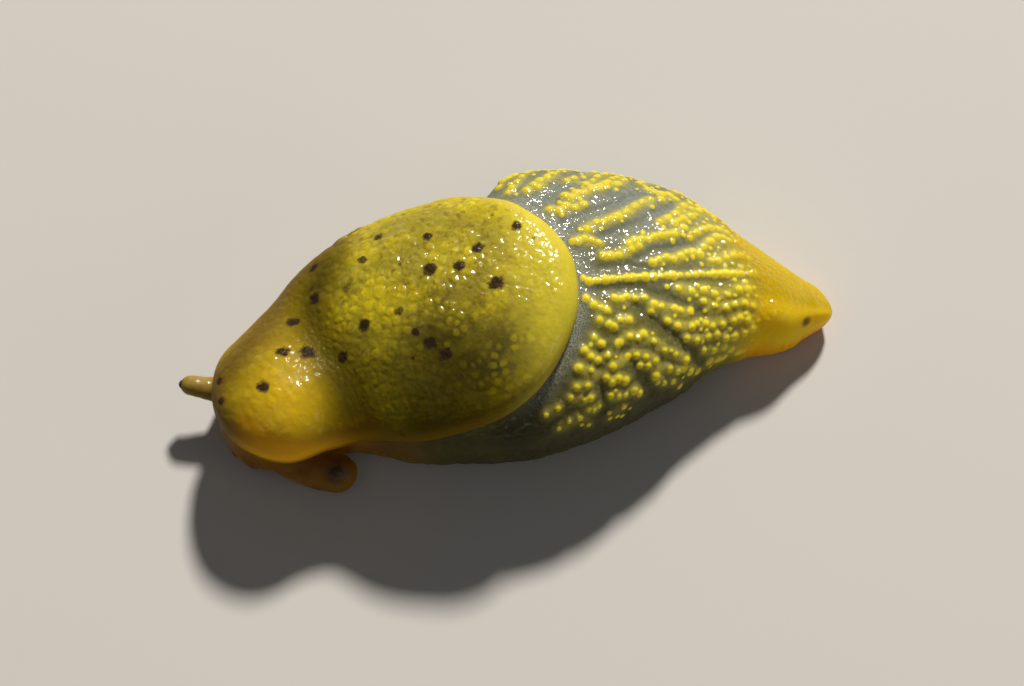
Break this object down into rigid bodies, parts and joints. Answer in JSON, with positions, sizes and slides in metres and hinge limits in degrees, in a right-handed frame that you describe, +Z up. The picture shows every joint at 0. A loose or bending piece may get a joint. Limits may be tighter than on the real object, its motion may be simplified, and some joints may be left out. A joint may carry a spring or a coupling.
{
  "type": "manyspot capeslug",
  "caption": "Life-size still model of a spotted land slug drawn in on its sole, with a mantle shield, warty back, pointed tail and one upper feeler half out",
  "frame": {"origin": "on the floor, on the flat underside of the sole, under the middle of the body", "axes": "X runs along the slug, head at -X and tail at +X; +Y is the slug's right side; +Z is up"},
  "size_m": [0.0417, 0.0186, 0.011],
  "materials": {
    "mantle_skin": "moist mustard and olive yellow skin with dark brown spots, fine low grains",
    "back_skin": "wet grey-olive skin with rows of round yellow tubercles between grey-blue grooves",
    "tail_skin": "smooth wet yellow skin, orange underneath",
    "head_skin": "moist orange-brown skin, slightly see-through",
    "sole_skin": "smooth moist sole, pale olive",
    "eye": "dark eye seen through thin skin"
  },
  "bodies": {
    "root": {"foot": "sole_skin", "head": "head_skin", "neck": "head_skin", "trunk": "back_skin", "back": "back_skin", "tail_tip": "tail_skin", "mantle": "mantle_skin", "tentacle_right": "head_skin", "tentacle_left": "head_skin", "lower_tentacle_right": "head_skin", "lower_tentacle_left": "head_skin", "eye_right": "eye", "eye_left": "eye"}
  },
  "joints": []
}
